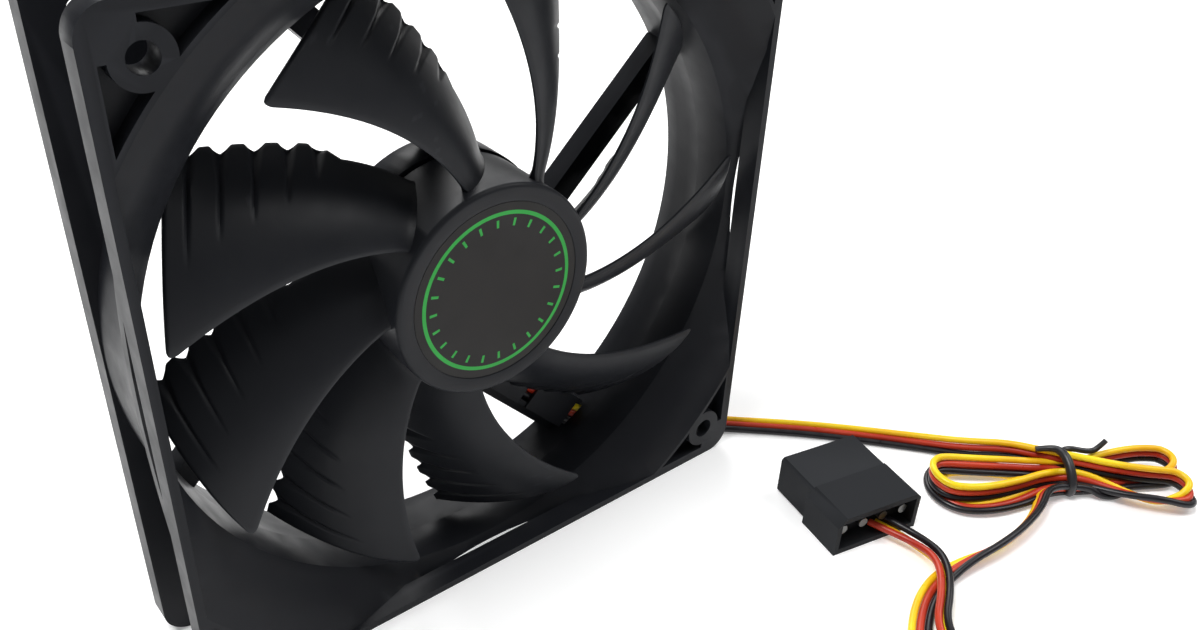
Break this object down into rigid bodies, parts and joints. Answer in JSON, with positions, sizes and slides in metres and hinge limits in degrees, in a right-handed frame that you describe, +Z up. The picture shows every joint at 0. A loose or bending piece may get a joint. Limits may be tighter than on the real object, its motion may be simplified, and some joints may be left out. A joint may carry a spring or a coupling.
{
  "type": "case fan",
  "caption": "Square axial case fan with a swept-blade impeller, screw holes in both corner flanges and a tied ribbon lead ending in a four-way power plug.",
  "frame": {"origin": "on the floor, under the middle of the square frame", "axes": "+X to the right and +Z up when the intake face is looked at, +Y the way the air leaves; the impeller turns about +Y"},
  "size_m": [0.1954, 0.114, 0.12],
  "materials": {
    "frame_plastic": "satin moulded",
    "impeller_plastic": "satin moulded",
    "yoke_steel": "plated",
    "magnet_ferrite": "matt",
    "insert_brass": "turned",
    "shaft_steel": "ground",
    "clip_nylon": "moulded",
    "label_film": "printed film",
    "tube_brass": "turned",
    "bearing_bronze": "sintered, oiled",
    "washer_felt": "matt",
    "pad_nylon": "moulded",
    "stopper_rubber": "matt",
    "core_steel": "varnished",
    "insulator_plastic": "moulded",
    "coil_copper": "enamelled",
    "pin_tin": "tinned",
    "board_green": "solder resist",
    "chip_epoxy": "moulded",
    "capacitor_tan": "ceramic",
    "wire_yellow": "extruded",
    "wire_red": "extruded",
    "wire_black": "extruded",
    "tie_black": "paper and wire",
    "plug_plastic": "moulded",
    "contact_tin": "tinned"
  },
  "bodies": {
    "frame": {"bearing_tube": "tube_brass", "capacitor": "capacitor_tan", "circuit_board": "board_green", "coil_windings": "coil_copper", "connector_contacts": "contact_tin", "connector_housing": "plug_plastic", "driver_chip": "chip_epoxy", "fan_frame": "frame_plastic", "hall_sensor": "chip_epoxy", "lead_black": "wire_black", "lead_black_run": "wire_black", "lead_black_tail": "wire_black", "lead_hank": "wire_yellow", "lead_red": "wire_red", "lead_red_run": "wire_red", "lead_red_tail": "wire_red", "lead_yellow": "wire_yellow", "lead_yellow_run": "wire_yellow", "lead_yellow_tail": "wire_yellow", "oil_stopper": "stopper_rubber", "oil_washers": "washer_felt", "rear_label": "label_film", "resistors": "chip_epoxy", "sleeve_bearing": "bearing_bronze", "solder_joints": "pin_tin", "stator_insulator_front": "insulator_plastic", "stator_insulator_rear": "insulator_plastic", "stator_laminations": "core_steel", "thrust_pad": "pad_nylon", "twist_tie": "tie_black", "winding_pins": "pin_tin"},
    "rotor": {"impeller": "impeller_plastic", "rotor_yoke": "yoke_steel", "ring_magnet": "magnet_ferrite", "shaft_insert": "insert_brass", "shaft": "shaft_steel", "retaining_clip": "clip_nylon", "hub_label": "label_film"}
  },
  "joints": [
    {"name": "rotor_spin", "type": "hinge", "parent": "frame", "child": "rotor", "pos_m": [0, 0, 0.06], "axis": [0, 1, 0], "continuous": true}
  ]
}
